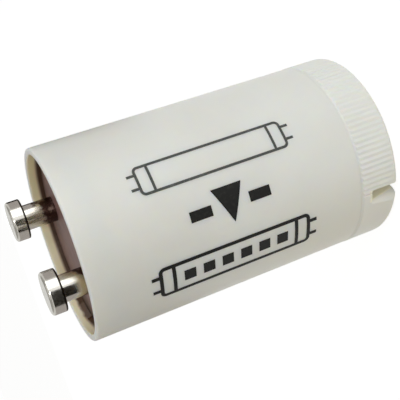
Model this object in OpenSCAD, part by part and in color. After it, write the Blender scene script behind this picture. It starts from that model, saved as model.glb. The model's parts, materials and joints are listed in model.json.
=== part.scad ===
// Two-pin starter for a fluorescent batten, in the fused form that goes with LED tubes.
// It stands on the closed end of its can, with the pins up. The origin is the centre of
// the closed end, +Z runs up the can's axis, and the two pins lie on the X axis.

/* [Can] */
// Outside diameter at the open mouth
can_d = 21.5; // [20.5:0.1:22.5]
// Moulding draft: how much less the diameter is just above the grip band
can_draft = 0.18; // [0.05:0.01:0.4]
// Height of the can from its closed end to its lip
can_h = 35.8; // [32:0.2:40]
// Thickness of the side wall
can_wall = 1.25; // [1.1:0.05:1.6]
// Thickness of the closed end
end_t = 1.2; // [1:0.1:2]
// Rounding of the closed end's edge
end_round = 0.8; // [0.3:0.05:1]

/* [Mouth] */
// Thickness of the lip, where the can is bored out for the disc
lip_wall = 0.75; // [0.6:0.05:0.9]
// Rounding of the lip's edges
lip_round = 0.2; // [0.1:0.05:0.3]
// Depth of the disc's face below the lip
recess = 1.5; // [0.8:0.1:2]
// Height of the two lugs inside the lip that snap over the disc
lug_h = 0.25; // [0.15:0.05:0.4]
// Length of those lugs along the axis
lug_l = 0.6; // [0.4:0.05:0.8]
// Angle that each lug takes of the lip
lug_angle = 16; // [8:1:30]
// Gap between the disc's face and the lugs
lug_gap = 0.05; // [0.02:0.01:0.1]

/* [Grip band] */
// How far the ribs stand out of the body above them
grip_proud = 0.04; // [0.01:0.01:0.1]
// Height of the band above the closed end
grip_h = 4.8; // [4.2:0.1:8]
// Width of the bottom of the groove that parts the band from the body
groove_w = 0.15; // [0.1:0.05:0.6]
// Length of the slope that leads from the band into the groove
groove_slope = 0.3; // [0.1:0.05:0.6]
// Depth of that groove
groove_depth = 0.12; // [0.1:0.02:0.3]
// Number of ribs that a full ring would have
rib_count = 112; // [60:4:140]
// Depth of the notches between the ribs
rib_depth = 0.08; // [0.06:0.02:0.18]
// Angle of the plain pad beside each end of the slot
pad_angle = 54; // [20:2:80]

/* [End slot] */
// Width of the slot that a coin or a screwdriver turns
slot_w = 1.4; // [1:0.1:2]
// Depth of the slot
slot_depth = 3.5; // [2:0.1:4]
// Thickness of the folded walls round the slot, inside the can
slot_wall = 1; // [0.8:0.1:1.4]
// Rounding of the wall that leads into the slot, at the closed end
slot_lead_r = 1.6; // [0.8:0.1:2]
// How far beyond the slot's inner end that rounding would narrow to nothing
slot_lead_over = 1.5; // [0.5:0.1:6]
// Angle of the slot from the line of the pins
slot_turn = 4.3; // [-10:0.1:10]

/* [Base disc] */
// Thickness of the disc
disc_t = 1.6; // [1.2:0.1:2.5]
// Gap between the disc's edge and the lip
disc_clear = 0.1; // [0.05:0.05:0.2]
// Break of the disc's edges
disc_break = 0.15; // [0.05:0.05:0.3]

/* [Contact pins] */
// Distance between the two pins
pin_spacing = 12.7; // [12:0.1:13.4]
// Height of the pin heads above the lip
pin_reach = 3.5; // [3:0.1:4.2]
// Diameter of the head
head_d = 4.55; // [4.2:0.05:5]
// Thickness of the head
head_t = 1.6; // [1.2:0.1:2]
// Rounding of the head's front edge
head_round = 0.3; // [0.1:0.05:0.5]
// Rounding of the head's back edge
back_round = 0.15; // [0.05:0.05:0.3]
// Diameter of the neck below the head
neck_d = 2.85; // [2.6:0.05:3.2]
// Diameter of the tail that goes through the disc
tail_d = 2; // [1.8:0.1:2.4]
// Gap between the tail and its hole
tail_clear = 0.05; // [0.02:0.01:0.1]
// Diameter of the flange that is clenched behind the disc
clench_d = 3.6; // [3:0.1:4]
// Thickness of that flange
clench_t = 0.4; // [0.3:0.1:0.8]
// Length of the hollow tail below the flange
tail_l = 1.8; // [1.2:0.1:3]
// Bore of the tail
tail_bore_d = 0.9; // [0.8:0.05:1.2]
// Depth of that bore, from the end of the tail
tail_bore_l = 2.6; // [1.5:0.1:3]

/* [Fuse] */
// Length over the two caps
fuse_l = 10; // [8:0.5:12]
// Distance of the fuse's upper end below the disc
fuse_drop = 8; // [7:0.5:12]
// Outside diameter of the caps
cap_d = 3.6; // [3.2:0.1:4.5]
// Length of each cap
cap_l = 2.5; // [1.5:0.1:3.5]
// Thickness of the caps
cap_t = 0.25; // [0.2:0.05:0.4]
// Gap between the glass and the caps
glass_clear = 0.03; // [0.02:0.01:0.1]
// Wall of the glass tube
glass_wall = 0.5; // [0.3:0.05:0.7]
// Diameter of the fuse wire
fuse_wire_d = 0.2; // [0.1:0.05:0.4]

/* [Leads] */
// Diameter of the tinned leads
lead_d = 0.6; // [0.5:0.05:0.7]
// Straight length that each leaves its cap with
lead_stub = 0.9; // [0.4:0.1:1.5]
// Radius of their bends, at the middle of the wire
lead_bend = 1; // [0.8:0.05:1.2]
// Length of each solder joint below its tail
solder_l = 0.9; // [0.5:0.1:1.5]
// Diameter of the solder at its lower end
solder_low_d = 0.9; // [0.8:0.05:1.2]
// Gap between the solder and the lead
solder_clear = 0.01; // [0.01:0.01:0.03]
// Gap between the lead's end and the bottom of its bore
lead_gap = 0.2; // [0.1:0.1:0.5]

/* [Hidden] */
$fn = 96;

// Overrun of a cutting tool past the face that it cuts
cut = 0.5;
// Steps of a rounded edge in a turned profile
round_steps = 6;
// How far the slot's rounding reaches past the slot's wall, so that the two cross cleanly
slot_lead_past = 0.03;

can_r = can_d / 2;
can_low_r = (can_d - can_draft) / 2;
grip_r = can_low_r + grip_proud;
groove_r = can_low_r - groove_depth;
lip_r = can_r - lip_wall;
bore_top_r = can_r - can_wall;
bore_low_r = can_low_r - can_wall;

// Levels on the axis
disc_top = can_h - recess;
disc_bottom = disc_top - disc_t;
head_top = can_h + pin_reach;
flange_bottom = disc_bottom - clench_t;
tail_end = flange_bottom - tail_l;
fuse_top = disc_bottom - fuse_drop;
fuse_low = fuse_top - fuse_l;

disc_r = lip_r - disc_clear;
pin_x = pin_spacing / 2;

// Points of an arc about a centre, from the first angle to the second
function arc(centre, r, from, to) =
    [for (i = [0 : round_steps]) let (a = from + (to - from) * i / round_steps)
        centre + r * [cos(a), sin(a)]];

// The can's turned section: up the outside, over the lip and down the bore
can_section = concat(
    [[0, 0]],
    arc([grip_r - end_round, end_round], end_round, -90, 0),
    [[grip_r, grip_h - groove_slope],
     [groove_r, grip_h],
     [groove_r, grip_h + groove_w],
     [can_low_r, grip_h + groove_w]],
    arc([can_r - lip_round, can_h - lip_round], lip_round, 0, 90),
    arc([lip_r + lip_round, can_h - lip_round], lip_round, 90, 180),
    [[lip_r, disc_bottom],
     [bore_top_r, disc_bottom],
     [bore_low_r, end_t],
     [0, end_t]]);

// True where the band is a plain pad, beside either end of the slot
function on_pad(a) = (a > 180 - pad_angle && a <= 180) || a > 360 - pad_angle;

// Outline of the ribs: each tip runs a little past the band, which leaves it a narrow flat
rib_land = rib_depth / 8;
rib_outline = [for (i = [0 : 2 * rib_count - 1])
    let (a = i * 180 / rib_count,
         r = on_pad(a) ? grip_r + cut : i % 2 == 0 ? grip_r + rib_land : grip_r - rib_depth)
    r * [cos(a), sin(a)]];

// Everything that the notches between the ribs take away
module rib_notches() {
    difference() {
        translate([0, 0, -cut])
            cylinder(r = grip_r + cut, h = grip_h + groove_w / 2 + cut);
        translate([0, 0, -2 * cut])
            linear_extrude(grip_h + 4 * cut)
                polygon(rib_outline);
    }
}

// What one wall of the slot loses to its rounding, about the wall's outer edge. The rounding
// is part of a cone, which touches the wall and narrows up the slot.
module slot_lead() {
    tip_z = slot_depth + slot_lead_over;
    narrowing = slot_lead_r / tip_z;
    lean = atan(narrowing * sqrt(2));
    cone_angle = asin(sin(lean) / sqrt(2));
    cone_l = 2 * tip_z;
    difference() {
        intersection() {
            translate([-cut, -slot_w / 2, -cut])
                cube([slot_lead_r + 2 * cut, slot_w / 2 + slot_lead_r + cut, slot_depth + cut]);
            translate([0, 0, tip_z])
                rotate([0, 0, 45])
                    rotate([0, -atan(narrowing / sqrt(2)), 0])
                        translate([-cone_l, -cone_l, -cone_l])
                            cube([cone_l, 2 * cone_l, 2 * cone_l]);
        }
        translate([0, -slot_lead_past, tip_z])
            rotate([0, 0, 45])
                rotate([0, 180 - lean, 0])
                    cylinder(h = cone_l, r1 = 0, r2 = cone_l * tan(cone_angle));
    }
}

// The slot: a straight cut, with one wall rounded off at each end of it
module slot_cut() {
    translate([-grip_r - cut, -slot_w / 2, -cut])
        cube([2 * (grip_r + cut), slot_w, slot_depth + cut]);
    for (side = [0, 180])
        rotate(side)
            translate([-sqrt(pow(grip_r, 2) - pow(slot_w / 2, 2)), slot_w / 2, 0])
                slot_lead();
}

// One of the lugs that hold the disc down: a low wedge on the inside of the lip
module lug(turn) {
    lug_bottom = disc_top + lug_gap;
    rotate([0, 0, turn - lug_angle / 2])
        rotate_extrude(angle = lug_angle)
            polygon([[lip_r + lip_wall / 2, lug_bottom],
                     [lip_r - lug_h, lug_bottom],
                     [lip_r, lug_bottom + lug_l],
                     [lip_r + lip_wall / 2, lug_bottom + lug_l]]);
}

// The slot's own walls, folded up into the can
module slot_fold() {
    fold_w = slot_w + 2 * slot_wall;
    intersection() {
        translate([-grip_r, -fold_w / 2, end_t / 2])
            cube([2 * grip_r, fold_w, slot_depth + slot_wall - end_t / 2]);
        cylinder(r = bore_low_r + can_wall / 2, h = slot_depth + slot_wall + cut);
    }
}

module can() {
    color("ivory")
        rotate([0, 0, slot_turn])
            difference() {
                union() {
                    rotate_extrude()
                        polygon(can_section);
                    slot_fold();
                    lug(90);
                    lug(270);
                }
                rib_notches();
                slot_cut();
            }
}

module base_disc() {
    color("rosybrown")
        difference() {
            rotate_extrude()
                polygon([[0, disc_bottom],
                         [disc_r - disc_break, disc_bottom],
                         [disc_r, disc_bottom + disc_break],
                         [disc_r, disc_top - disc_break],
                         [disc_r - disc_break, disc_top],
                         [0, disc_top]]);
            for (x = [-pin_x, pin_x])
                translate([x, 0, disc_bottom - cut])
                    cylinder(d = tail_d + 2 * tail_clear, h = disc_t + 2 * cut);
        }
}

// One headed pin: its neck stands on the disc, and its tail is clenched behind it
module contact_pin(side) {
    head_r = head_d / 2;
    head_back = head_top - head_t;
    section = concat(
        [[tail_bore_d / 2, tail_end],
         [tail_d / 2, tail_end],
         [tail_d / 2, flange_bottom],
         [clench_d / 2, flange_bottom],
         [clench_d / 2, disc_bottom],
         [tail_d / 2, disc_bottom],
         [tail_d / 2, disc_top],
         [neck_d / 2, disc_top],
         [neck_d / 2, head_back]],
        arc([head_r - back_round, head_back + back_round], back_round, -90, 0),
        arc([head_r - head_round, head_top - head_round], head_round, 0, 90),
        [[0, head_top],
         [0, tail_end + tail_bore_l],
         [tail_bore_d / 2, tail_end + tail_bore_l]]);
    color("silver")
        translate([side * pin_x, 0, 0])
            rotate_extrude()
                polygon(section);
}

// Solder drawn down the lead from the end of the tail
module solder(side) {
    bore_r = lead_d / 2 + solder_clear;
    color("lightgray")
        translate([side * pin_x, 0, 0])
            rotate_extrude()
                polygon([[bore_r, tail_end],
                         [tail_d / 2, tail_end],
                         [(tail_d + solder_low_d) / 4, tail_end - solder_l / 3],
                         [solder_low_d / 2, tail_end - solder_l],
                         [bore_r, tail_end - solder_l]]);
}

// Length of round wire, from the origin along +Z
module wire_straight(length) {
    cylinder(d = lead_d, h = length);
}

// Quarter bend of round wire, from the origin along +Z and over to +X
module wire_bend() {
    translate([lead_bend, 0, 0])
        rotate([90, 0, 0])
            rotate([0, 0, 90])
                rotate_extrude(angle = 90)
                    translate([lead_bend, 0])
                        circle(d = lead_d);
}

// Tinned wire that leaves a fuse cap upwards or downwards, runs across to its pin and turns
// up into the pin's hollow tail
module lead(side, cap_end, out) {
    run_z = cap_end + out * (lead_stub + lead_bend);
    rise_z = run_z + lead_bend;
    top_z = tail_end + tail_bore_l - lead_gap;
    color("gainsboro")
        mirror([side < 0 ? 1 : 0, 0, 0]) {
            translate([0, 0, cap_end])
                mirror([0, 0, out < 0 ? 1 : 0]) {
                    wire_straight(lead_stub);
                    translate([0, 0, lead_stub])
                        wire_bend();
                }
            translate([lead_bend, 0, run_z])
                rotate([0, 90, 0])
                    wire_straight(pin_x - 2 * lead_bend);
            translate([pin_x, 0, rise_z]) {
                rotate([0, 180, 0])
                    wire_bend();
                wire_straight(top_z - rise_z);
            }
        }
}

// Cup that closes one end of the glass and carries a lead; it opens along +Z when up is 1
module fuse_cap(end_z, up) {
    color("silver")
        translate([0, 0, end_z])
            mirror([0, 0, up < 0 ? 1 : 0])
                difference() {
                    cylinder(d = cap_d, h = cap_l);
                    translate([0, 0, cap_t])
                        cylinder(d = cap_d - 2 * cap_t, h = cap_l);
                }
}

module fuse_tube() {
    glass_d = cap_d - 2 * cap_t - 2 * glass_clear;
    color("lightcyan")
        translate([0, 0, fuse_low])
            difference() {
                translate([0, 0, cap_t])
                    cylinder(d = glass_d, h = fuse_l - 2 * cap_t);
                cylinder(d = glass_d - 2 * glass_wall, h = fuse_l);
            }
}

module fuse_wire() {
    color("gray")
        translate([0, 0, fuse_low + cap_t])
            cylinder(d = fuse_wire_d, h = fuse_l - 2 * cap_t);
}

can();
base_disc();
contact_pin(-1);  // contact_pin_left
contact_pin(1);  // contact_pin_right
solder(-1);  // solder_left
solder(1);  // solder_right
lead(-1, fuse_top, 1);  // lead_left
lead(1, fuse_low, -1);  // lead_right
fuse_cap(fuse_top, -1);  // fuse_cap_upper
fuse_cap(fuse_low, 1);  // fuse_cap_lower
fuse_tube();
fuse_wire();
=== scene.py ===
"""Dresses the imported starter: camera, floor and soft light, a finish for each material slot,
and the printed marks on the can. Metres throughout, in the same frame as the solids."""

import json
import math

import bpy
import numpy as np
from mathutils import Matrix, Vector


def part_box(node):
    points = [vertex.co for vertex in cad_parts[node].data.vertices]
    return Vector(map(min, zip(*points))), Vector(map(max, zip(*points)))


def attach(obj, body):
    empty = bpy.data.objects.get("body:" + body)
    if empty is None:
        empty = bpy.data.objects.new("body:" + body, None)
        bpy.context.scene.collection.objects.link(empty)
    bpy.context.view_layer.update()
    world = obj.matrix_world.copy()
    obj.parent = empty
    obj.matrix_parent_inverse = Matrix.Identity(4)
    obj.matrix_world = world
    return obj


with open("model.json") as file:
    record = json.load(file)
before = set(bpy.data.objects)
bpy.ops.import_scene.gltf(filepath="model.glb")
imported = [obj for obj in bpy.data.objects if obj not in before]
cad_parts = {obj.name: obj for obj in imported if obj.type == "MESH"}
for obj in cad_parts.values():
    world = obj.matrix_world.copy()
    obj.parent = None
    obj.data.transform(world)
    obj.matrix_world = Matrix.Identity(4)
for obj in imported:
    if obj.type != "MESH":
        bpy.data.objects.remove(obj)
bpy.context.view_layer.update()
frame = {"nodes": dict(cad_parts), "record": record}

MM = 0.001
NODES = frame["nodes"]

# Sizes that the frame gives, in millimetres
CAN_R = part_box("can")[1][0] / MM
LIP_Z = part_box("can")[1][2] / MM
DISC_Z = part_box("base_disc")[1][2] / MM
DISC_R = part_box("base_disc")[1][0] / MM
PIN_X = (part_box("contact_pin_right")[0][0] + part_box("contact_pin_right")[1][0]) / 2 / MM
PIN_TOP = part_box("contact_pin_right")[1][2] / MM

# Sizes that it doesn't give, as in the part's source, in millimetres
HEAD_BACK = PIN_TOP - 1.6
NECK_R = 1.425
MOUTH_R = 10.0
GRIP_Z = 4.8
WALL_LOW_R = 10.66
WALL_LOW_Z = 4.95
SLOT_TURN = math.radians(4.3)
SLOT_HALF = 0.7
SLOT_TOP = 3.5


# Node expressions


class Value:
    """A socket whose arithmetic adds Math nodes to its finish."""

    def __init__(self, finish, socket):
        self.finish = finish
        self.socket = socket

    def math(self, operation, *others):
        inputs = dict(enumerate((self, *others)))
        return self.finish.add("Math", {"operation": operation}, inputs)

    def turned(self, operation, other):
        return self.finish.add("Math", {"operation": operation}, {0: other, 1: self})

    def __add__(self, other):
        return self.math("ADD", other)

    def __sub__(self, other):
        return self.math("SUBTRACT", other)

    def __mul__(self, other):
        return self.math("MULTIPLY", other)

    def __truediv__(self, other):
        return self.math("DIVIDE", other)

    def __pow__(self, other):
        return self.math("POWER", other)

    def __radd__(self, other):
        return self.turned("ADD", other)

    def __rsub__(self, other):
        return self.turned("SUBTRACT", other)

    def __rmul__(self, other):
        return self.turned("MULTIPLY", other)

    def __rtruediv__(self, other):
        return self.turned("DIVIDE", other)


class Finish:
    """A procedural material, or the world, built from node expressions."""

    def __init__(self, owner):
        self.owner = owner
        owner.use_nodes = True
        self.tree = owner.node_tree
        self.tree.nodes.clear()

    def add(self, kind, settings=None, inputs=None, out=0):
        """One node: its settings come first, then values or links for its sockets."""
        node = self.tree.nodes.new("ShaderNode" + kind)
        for name, value in (settings or {}).items():
            setattr(node, name, value)
        for name, value in (inputs or {}).items():
            if isinstance(value, Value):
                self.tree.links.new(value.socket, node.inputs[name])
            elif isinstance(value, tuple) and node.inputs[name].type == "RGBA":
                node.inputs[name].default_value = (*value, 1)
            else:
                node.inputs[name].default_value = value
        return Value(self, node.outputs[out]) if node.outputs else None

    def blend(self, mask, low, high):
        """Colour that goes from low to high as the mask goes from 0 to 1."""
        return self.add("Mix", {"data_type": "RGBA"}, {0: mask, 6: low, 7: high}, 2)

    def step(self, value, start, end):
        """Smooth rise from 0 to 1 as the value goes from start to end."""
        inputs = {"Value": value, "From Min": start, "From Max": end}
        return self.add("MapRange", {"interpolation_type": "SMOOTHSTEP"}, inputs)

    def point(self):
        """The point on the surface, as a vector in millimetres."""
        point = self.add("TexCoord", out="Object")
        return self.add("VectorMath", {"operation": "SCALE"}, {0: point, "Scale": 1 / MM})

    def axes(self, vector):
        """X, Y and Z of a vector, as three values."""
        return [self.add("SeparateXYZ", None, {0: vector}, i) for i in range(3)]

    def noise(self, point, size, detail=3, stretch=(1, 1, 1)):
        """Noise from 0 to 1 with features of about that size in millimetres."""
        scale = tuple(1 / (size * s) for s in stretch)
        point = self.add("VectorMath", {"operation": "MULTIPLY"}, {0: point, 1: scale})
        return self.add("TexNoise", None, {"Vector": point, "Scale": 1.0, "Detail": detail})

    def bump(self, height, depth, strength=1.0):
        """Normal that a height from 0 to 1 gives, depth being in millimetres."""
        inputs = {"Height": height, "Distance": depth * MM, "Strength": strength}
        return self.add("Bump", None, inputs)

    def surface(self, shader):
        self.add("OutputMaterial", None, {"Surface": shader})
        return self.owner

    def principled(self, **sockets):
        inputs = {name.replace("_", " "): value for name, value in sockets.items()}
        return self.surface(self.add("BsdfPrincipled", None, inputs))


def new_finish(name):
    return Finish(bpy.data.materials.new(name))


def distance(a, b):
    """Root of the sum of two squared values."""
    return (a * a + b * b).math("SQRT")


# Finishes


def moulded_plastic():
    """Off-white moulding, a little translucent: faint warm clouds. Painted light makes the can
    paler towards its closed end and the grip band paler still, and a painted warm shade tints one
    side.
    Painted light makes the inside of the slot cream and the inside of the mouth tan, and painted
    shade makes that wall brown where it meets the disc, with some dirt at one place."""
    f = new_finish("moulded_plastic")
    point = f.point()
    x, y, z = f.axes(point)
    r = distance(x, y)
    cloud = f.noise(point, 9, 4)
    fine = f.noise(point, 0.5, 4)
    pale = f.blend(f.step(cloud, 0.3, 0.75), (0.795, 0.80, 0.788), (0.763, 0.762, 0.738))
    # Painted light: the can is paler towards its closed end.
    pale = f.blend(f.step(z, 28, 5) * 0.3, pale, (0.865, 0.865, 0.845))
    # Painted shade: a warm yellow tint on the side away from the key lamp, towards the closed
    # end.
    warm_shade = f.step(z, 26, 6) * f.step((y - x) * 0.7, 2, 9)
    pale = f.blend(warm_shade * 0.7, pale, (0.80, 0.785, 0.72))
    # Painted light: the grip band is paler than the rest of the can.
    band = f.step(z, GRIP_Z + 0.1, GRIP_Z - 0.2)
    pale = f.blend(band * 0.35, pale, (0.89, 0.885, 0.86))
    # Painted light: the inside of the slot is lightened to cream against its shade.
    across = (y * math.cos(SLOT_TURN) - x * math.sin(SLOT_TURN)).math("ABSOLUTE")
    slot = f.step(across, SLOT_HALF + 0.08, SLOT_HALF + 0.02)
    slot = slot * f.step(z, SLOT_TOP + 0.4, SLOT_TOP + 0.1)
    pale = f.blend(slot, pale, (0.95, 0.92, 0.76))
    # Painted light: the inside of the mouth is tinted tan, as light bounced off the brown disc
    # and through the thin wall.
    inside = f.step(r, MOUTH_R + 0.15, MOUTH_R) * f.step(z, DISC_Z - 6, DISC_Z)
    pale = f.blend(inside, pale, (0.98, 0.85, 0.64))
    # Painted shade: the mouth's wall turns dark brown where it meets the disc, reaching higher at
    # one place, where it is painted shade and dirt.
    level = z - 0.45 * f.step(distance(x, y - 10.3), 4.5, 1.5) * f.noise(point, 0.9, 3)
    wall_shade_and_dirt = inside * f.step(level, DISC_Z + 0.75, DISC_Z + 0.25)
    pale = f.blend(wall_shade_and_dirt, pale, (0.10, 0.05, 0.025))
    relief = f.noise(point, 2.5, 2) * 0.7 + fine * 0.3
    return f.principled(
        Base_Color=pale,
        Roughness=0.30 + 0.14 * f.noise(point, 1.4, 3),
        IOR=1.5,
        Subsurface_Weight=0.6,
        Subsurface_Radius=(0.0016, 0.0012, 0.0007),
        Subsurface_Scale=1.0,
        Normal=f.bump(relief, 0.02, 0.5),
    )


def pressed_laminate():
    """Brown paper laminate: fibres run along X, with darker flecks, painted shade along its rim
    where it meets the wall, painted shade and dirt at one place by that rim, and a dull sheen."""
    f = new_finish("pressed_laminate")
    point = f.point()
    x, y, _ = f.axes(point)
    fibre = f.noise(point, 0.22, 4, (9, 1, 1))
    patch = f.noise(point, 2.2, 3)
    brown = f.blend(f.step(fibre, 0.3, 0.7), (0.17, 0.085, 0.078), (0.27, 0.145, 0.128))
    brown = f.blend(f.step(patch, 0.45, 0.75) * 0.5, brown, (0.14, 0.07, 0.065))
    # Painted shade: the disc darkens towards its rim, where it meets the wall.
    edge = f.step(distance(x, y), DISC_R - 1.1, DISC_R - 0.4)
    brown = f.blend(edge * 0.85, brown, (0.06, 0.028, 0.018))
    # Painted shade and dirt: a dark patch on the disc by its rim, where the wall meets it.
    disc_shade_and_dirt = f.step(distance(x + 0.8, y - 9.4) + patch, 3.4, 1.4)
    brown = f.blend(disc_shade_and_dirt * 0.6, brown, (0.05, 0.036, 0.018))
    return f.principled(
        Base_Color=brown,
        Roughness=0.38 + 0.25 * fibre,
        Normal=f.bump(fibre, 0.02, 0.6),
    )


def turned_nickel():
    """Bright nickel over turned brass: fine tool rings on every face, speckled painted shade and
    reflection of the disc where the neck meets the disc, and painted shade on the back of the
    head."""
    f = new_finish("turned_nickel")
    point = f.point()
    x, y, z = f.axes(point)
    from_axis = distance(x.math("ABSOLUTE") - PIN_X, y)
    rings = ((from_axis + z) * (2 * math.pi / 0.09)).math("SINE") * 0.5 + 0.5
    wear = f.noise(point, 0.5, 4)
    patch = f.noise(point, 0.7, 3)
    # Painted shade and reflection: the neck turns speckled dark brown near the disc, reaching
    # higher on some sides.
    across = (x - PIN_X * x.math("SIGN")) * 0.57 - y * 0.82
    reach = 1.2 + 0.6 * f.step(x, -1, 1) + 1.0 * f.step(across, 0.5, 1.4)
    neck_shade_and_reflection = f.step((DISC_Z + reach - z) * 0.5 + patch, 0.55, 0.85)
    neck_shade_tone = f.blend(f.step(wear, 0.5, 0.7), (0.09, 0.05, 0.042), (0.26, 0.19, 0.16))
    metal = f.blend(neck_shade_and_reflection, (0.76, 0.735, 0.68), neck_shade_tone)
    # Painted shade: the head's back face and its edge are dark.
    head_back_shade = f.step(z, HEAD_BACK + 0.26, HEAD_BACK + 0.16)
    head_back_shade = head_back_shade * f.step(from_axis, NECK_R + 0.075, NECK_R + 0.175)
    head_back_shade = head_back_shade * f.step(z, HEAD_BACK - 0.4, HEAD_BACK - 0.2)
    metal = f.blend(head_back_shade, metal, (0.03, 0.022, 0.015))
    return f.principled(
        Base_Color=metal,
        Metallic=1.0,
        Roughness=0.11 + 0.10 * wear + 0.08 * neck_shade_and_reflection,
        Normal=f.bump(rings * 0.6 + wear * 0.4, 0.004, 0.5),
    )


def soft_solder():
    """Solder that froze with a faint frost over it."""
    f = new_finish("soft_solder")
    point = f.point()
    frost = f.noise(point, 0.35, 4)
    return f.principled(
        Base_Color=f.blend(frost, (0.60, 0.61, 0.62), (0.74, 0.75, 0.76)),
        Metallic=1.0,
        Roughness=0.22 + 0.25 * frost,
        Normal=f.bump(frost, 0.02, 0.6),
    )


def tinned_wire():
    """Tinned copper: drawing lines along the wire and a slight warm tint where tin is thin."""
    f = new_finish("tinned_wire")
    point = f.point()
    drawn = f.noise(point, 0.12, 3, (1, 1, 8))
    thin = f.step(f.noise(point, 1.5, 3), 0.55, 0.8)
    return f.principled(
        Base_Color=f.blend(thin * 0.5, (0.72, 0.72, 0.70), (0.72, 0.58, 0.46)),
        Metallic=1.0,
        Roughness=0.24 + 0.16 * drawn,
        Normal=f.bump(drawn, 0.006, 0.5),
    )


def plated_cap():
    """Nickel plated cup with a brushed side."""
    f = new_finish("plated_cap")
    point = f.point()
    brushed = f.noise(point, 0.1, 3, (6, 6, 1))
    return f.principled(
        Base_Color=f.blend(brushed, (0.66, 0.65, 0.61), (0.76, 0.74, 0.70)),
        Metallic=1.0,
        Roughness=0.18 + 0.14 * brushed,
        Normal=f.bump(brushed, 0.005, 0.5),
    )


def clear_glass():
    """Clear drawn glass, a little green, with slow waves along it."""
    f = new_finish("clear_glass")
    point = f.point()
    wave = f.noise(point, 1.2, 2, (1, 1, 4))
    return f.principled(
        Base_Color=f.blend(wave, (0.88, 0.95, 0.93), (0.93, 0.98, 0.96)),
        Roughness=0.02 + 0.03 * wave,
        Transmission_Weight=1.0,
        IOR=1.5,
        Normal=f.bump(wave, 0.02, 0.4),
    )


def printing_ink(name, dark, worn):
    """Pad-printed ink: matte, with a faint mottle where the film is thin."""
    f = new_finish(name)
    point = f.point()
    mottle = f.noise(point, 0.35, 4)
    return f.principled(
        Base_Color=f.blend(f.step(mottle, 0.45, 0.85), dark, worn),
        Roughness=0.48 + 0.2 * mottle,
        Specular_IOR_Level=0.3,
        Normal=f.bump(mottle, 0.01, 0.4),
    )


FINISHES = {
    "can_plastic": moulded_plastic(),
    "disc_laminate": pressed_laminate(),
    "pin_metal": turned_nickel(),
    "solder_metal": soft_solder(),
    "lead_metal": tinned_wire(),
    "cap_metal": plated_cap(),
    "fuse_glass": clear_glass(),
}

for part in frame["record"]["subparts"]:
    mesh = NODES[part["node"]].data
    mesh.materials.clear()
    mesh.materials.append(FINISHES[part["material_slot"]])


# Printed marks

# Height of the ink above the wall, and how far it reaches into it, in millimetres
INK_HIGH = 0.016
INK_DEEP = 0.03


def wall_radius(z):
    """Radius of the can's side at a height: a straight draft from the groove to the lip."""
    return WALL_LOW_R + (CAN_R - WALL_LOW_R) * (z - WALL_LOW_Z) / (LIP_Z - WALL_LOW_Z)


def line_points(start, end, count=9):
    """Points along a straight line: start plus t times the way to the end."""
    t = np.linspace(0, 1, count)[:, None]
    return np.array(start) * (1 - t) + np.array(end) * t


def round_box(centre, length, height, corner, steps=6):
    """Points round a box with round corners: each quarter circle of radius corner about
    its own corner's centre, in order, which leaves straight lines between the quarters."""
    quarter = np.repeat(np.arange(4), steps + 1)
    angle = np.radians(90 * quarter + np.tile(np.linspace(0, 90, steps + 1), 4))
    middle = np.radians(45 + 90 * quarter)
    reach = np.array([length / 2 - corner, height / 2 - corner])
    sides = np.sign(np.stack([np.cos(middle), np.sin(middle)], axis=1))
    turn = np.stack([np.cos(angle), np.sin(angle)], axis=1)
    return np.array(centre) + sides * reach + corner * turn


def finer(path, pitch=0.4):
    """The same closed path with points added, so that none are further apart than the pitch."""
    ends = np.roll(path, -1, axis=0)
    counts = np.maximum(1, np.ceil(np.linalg.norm(ends - path, axis=1) / pitch).astype(int))
    start = np.repeat(np.arange(len(path)), counts)
    first = np.repeat(np.cumsum(counts) - counts, counts)
    t = ((np.arange(counts.sum()) - first) / np.repeat(counts, counts))[:, None]
    return path[start] * (1 - t) + ends[start] * t


def stroke(path, width, closed=False):
    """Flat band of ink along a path in the plan. At each point the band's edges lie half
    the width to either side, along the average normal of the two runs that meet there."""
    width = np.broadcast_to(width, len(path))[:, None]
    if closed:
        before, after = path - np.roll(path, 1, axis=0), np.roll(path, -1, axis=0) - path
    else:
        runs = np.diff(path, axis=0)
        before, after = np.vstack([runs[:1], runs]), np.vstack([runs, runs[-1:]])
    before = before / np.linalg.norm(before, axis=1)[:, None]
    after = after / np.linalg.norm(after, axis=1)[:, None]
    along = before + after
    along = along / np.linalg.norm(along, axis=1)[:, None]
    across = np.stack([-along[:, 1], along[:, 0]], axis=1)
    across = across / np.sum(along * after, axis=1)[:, None]
    left, right = path + across * width / 2, path - across * width / 2
    return left, right, closed


def on_can(plan, height, azimuth, start_z):
    """A point of the plan (along, up) on the can: the way along goes down the axis from
    start_z, and the way up goes round the wall from the azimuth."""
    z = start_z - plan[:, 0]
    r = wall_radius(z)
    angle = math.radians(azimuth) + plan[:, 1] / r
    r = r + height
    return np.stack([r * np.cos(angle), r * np.sin(angle), z], axis=1) * MM


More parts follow.
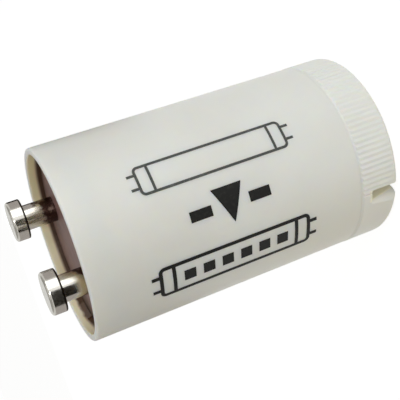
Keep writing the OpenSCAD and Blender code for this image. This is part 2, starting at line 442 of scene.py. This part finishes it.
def printed_row(name, bands, azimuth, start_z, ink):
    """One piece of ink: each band is a ring of four corners (its two edges, below and above
    the wall's surface) carried along the band's path, and closed at both ends."""
    points, faces, base = [], [], 0
    for left, right, closed in bands:
        count = len(left)
        corners = [(left, -INK_DEEP), (right, -INK_DEEP), (right, INK_HIGH), (left, INK_HIGH)]
        rings = np.stack([on_can(p, h, azimuth, start_z) for p, h in corners], axis=1)
        points.append(rings.reshape(-1, 3))
        i, j = np.meshgrid(np.arange(count if closed else count - 1), np.arange(4), indexing="ij")
        near, far = 4 * i, 4 * ((i + 1) % count)
        quads = np.stack([near + j, near + (j + 1) % 4, far + (j + 1) % 4, far + j], axis=-1)
        faces.append(base + quads.reshape(-1, 4))
        if not closed:
            last = 4 * (count - 1)
            faces.append(base + np.array([[3, 2, 1, 0], [last, last + 1, last + 2, last + 3]]))
        base += 4 * count
    mesh = bpy.data.meshes.new(name)
    mesh.from_pydata(np.concatenate(points).tolist(), [], np.concatenate(faces).tolist())
    mesh.validate()
    mesh.materials.append(ink)
    piece = bpy.data.objects.new(name, mesh)
    bpy.context.scene.collection.objects.link(piece)
    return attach(piece, "root")


def tube_sign(length, height, pin, line):
    """Outline of a lamp tube: a long box with round corners, a line across near each end
    for its caps, and two short pins out of each end."""
    middle = (length / 2, 0)
    body = length - 2 * pin
    cap = pin + 0.085 * body
    bands = [stroke(finer(round_box(middle, body, height, 0.45)), line, closed=True)]
    for end in (cap, length - cap):
        bands.append(stroke(line_points((end, -height / 2), (end, height / 2)), line))
    for start in (0, length - pin):
        for level in (-height / 4, height / 4):
            bands.append(stroke(line_points((start, level), (start + pin, level)), line))
    return bands


def upper_marks():
    """Plain tube in thin lines."""
    return tube_sign(18.0, 2.9, 0.9, 0.28)


def middle_marks():
    """Bold solid triangle that points down, between two thick bars."""
    bands = []
    for start in (0, 6.6):
        bands.append(stroke(line_points((start, 0), (start + 2.4, 0)), 1.1))
    fall = line_points((4.5, 1.9), (4.5, -1.9), 17)
    bands.append(stroke(fall, np.linspace(3.4, 0.04, 17)))
    return bands


def lower_marks():
    """Tube in heavier lines with a row of small solid squares in it."""
    bands = tube_sign(19.0, 3.5, 1.0, 0.40)
    for start in np.linspace(3.5, 14.2, 6):
        bands.append(stroke(line_points((start, 0), (start + 1.3, 0)), 1.3))
    return bands


grey_ink = printing_ink("grey_ink", (0.065, 0.07, 0.068), (0.13, 0.135, 0.13))
black_ink = printing_ink("black_ink", (0.005, 0.005, 0.004), (0.018, 0.017, 0.015))
printed_row("marks_upper", upper_marks(), 238.2, 28.9, grey_ink)
printed_row("marks_middle", middle_marks(), 211.0, 24.3, black_ink)
printed_row("marks_lower", lower_marks(), 179.4, 29.6, black_ink)


# Camera, floor and light

# The photograph's camera: where it stands, and which way is right, up and back for it
EYE = Vector((-64.4, -55.003, 46.934)) * MM
RIGHT = Vector((-0.4405, 0.063, -0.8955)).normalized()
BACK = Vector((-0.7195, -0.6213, 0.3102)).normalized()
UP = BACK.cross(RIGHT)

# Its focal length and the picture's width, both in pixels
FOCAL = 793.863
WIDTH = 400

# The point that the lamps look at
MIDDLE = Vector((0, 0, 18)) * MM


def photo_camera():
    lens = bpy.data.cameras.new("photo_camera")
    lens.sensor_width = 36
    lens.lens = lens.sensor_width * FOCAL / WIDTH
    lens.clip_start = 0.001
    lens.clip_end = 20
    camera = bpy.data.objects.new("photo_camera", lens)
    axes = Matrix((RIGHT, UP, BACK)).transposed()
    camera.matrix_world = Matrix.Translation(EYE) @ axes.to_4x4()
    bpy.context.scene.collection.objects.link(camera)
    bpy.context.scene.camera = camera


def pale_floor():
    """Flat pale sheet on Z = 0. It shows white and keeps the object's shadow. Shiny metal
    sees it bright near the object and towards the key lamp, and duller elsewhere."""
    f = new_finish("pale_floor")
    camera, glossy, clear = [
        f.add("LightPath", out=name)
        for name in ("Is Camera Ray", "Is Glossy Ray", "Is Transmission Ray")
    ]
    seen = (camera + glossy + clear).math("MINIMUM", 1.0)
    x, y, _ = f.axes(f.point())
    toward_key = (x * -0.29 - y * 0.956) / (distance(x, y) + 1)
    dull = glossy * f.step(toward_key, 0.92, 0.72) * f.step(distance(x, y), 80, 97)
    glow = f.blend(dull, (1.0, 1.0, 1.0), (0.40, 0.375, 0.365))
    glow = f.add("Emission", None, {"Color": glow, "Strength": 1.24})
    tone = f.blend(seen, (0.93, 0.88, 0.75), (0.93, 0.93, 0.93))
    tone = f.blend(dull, tone, (0.40, 0.38, 0.37))
    sheet = f.add("BsdfDiffuse", None, {"Color": tone})
    f.surface(f.add("MixShader", None, {0: seen * 0.7, 1: sheet, 2: glow}))
    reach = 4.0
    mesh = bpy.data.meshes.new("pale_floor")
    corners = [(-reach, -reach, 0), (reach, -reach, 0), (reach, reach, 0), (-reach, reach, 0)]
    mesh.from_pydata(corners, [], [(0, 1, 2, 3)])
    mesh.materials.append(f.owner)
    floor = bpy.data.objects.new("pale_floor", mesh)
    bpy.context.scene.collection.objects.link(floor)


def dark_card(name, start, end, low):
    """Upright dark card from one point of the plan to another, with its lower edge at the
    height low, all in millimetres. It shows only in what the object reflects."""
    f = new_finish(name)
    f.surface(f.add("BsdfDiffuse", None, {"Color": (0.014, 0.010, 0.005)}))
    top = 40
    corners = [(*start, low), (*end, low), (*end, top), (*start, top)]
    mesh = bpy.data.meshes.new(name)
    mesh.from_pydata((np.array(corners) * MM).tolist(), [], [(0, 1, 2, 3)])
    mesh.materials.append(f.owner)
    card = bpy.data.objects.new(name, mesh)
    bpy.context.scene.collection.objects.link(card)
    card.visible_camera = False
    card.visible_diffuse = False
    card.visible_shadow = False
    card.visible_transmission = False


def soft_lamp(name, way, far, size, watts, colour=(1, 1, 1), mirrored=True):
    """Square soft lamp that looks at the object from that way. Where it isn't mirrored, shiny
    surfaces don't show it."""
    lamp = bpy.data.lights.new(name, "AREA")
    lamp.shape = "SQUARE"
    lamp.size = size
    lamp.energy = watts
    lamp.color = colour
    holder = bpy.data.objects.new(name, lamp)
    way = Vector(way).normalized()
    holder.location = MIDDLE + way * far
    holder.rotation_mode = "QUATERNION"
    holder.rotation_quaternion = way.to_track_quat("Z", "Y")
    holder.visible_glossy = mirrored
    bpy.context.scene.collection.objects.link(holder)


def studio_world():
    """Pale surroundings, a little cooler on the key lamp's side and warmer on the other.
    Shiny surfaces see a lighter horizon under a dimmer ceiling."""
    world = bpy.data.worlds.new("studio")
    bpy.context.scene.world = world
    f = Finish(world)
    way = f.add("TexCoord", out="Generated")
    _, side, height = f.axes(way)
    soft = f.blend(f.step(side, -0.5, 0.7), (0.385, 0.40, 0.41), (0.425, 0.402, 0.345))
    mirrored = f.blend(f.step(height, 0.35, 0.6), (0.72, 0.72, 0.70), (0.35, 0.345, 0.33))
    pale = f.blend(f.add("LightPath", out="Is Glossy Ray"), soft, mirrored)
    pale = f.blend(f.add("LightPath", out="Is Camera Ray"), pale, (1.0, 1.0, 1.0))
    f.add("OutputWorld", None, {"Surface": f.add("Background", None, {"Color": pale})})


photo_camera()
pale_floor()
studio_world()
dark_card("card_near", (-60, -58), (-60, 42), 6)
dark_card("card_far", (60, -6), (48, 36), 14)
soft_lamp("key", (-0.10, -0.95, 0.22), 0.32, 0.26, 0.385, (0.95, 0.985, 1.0))
soft_lamp("front", (-0.72, -0.64, 0.265), 0.35, 0.05, 0.15)
soft_lamp("back", (0.62, 0.72, 0.30), 0.45, 0.40, 0.14, mirrored=False)
soft_lamp("top", (-0.25, -0.35, 0.90), 0.35, 0.30, 0.12, (1.0, 0.99, 0.97))

bpy.context.scene.view_settings.view_transform = "Standard"
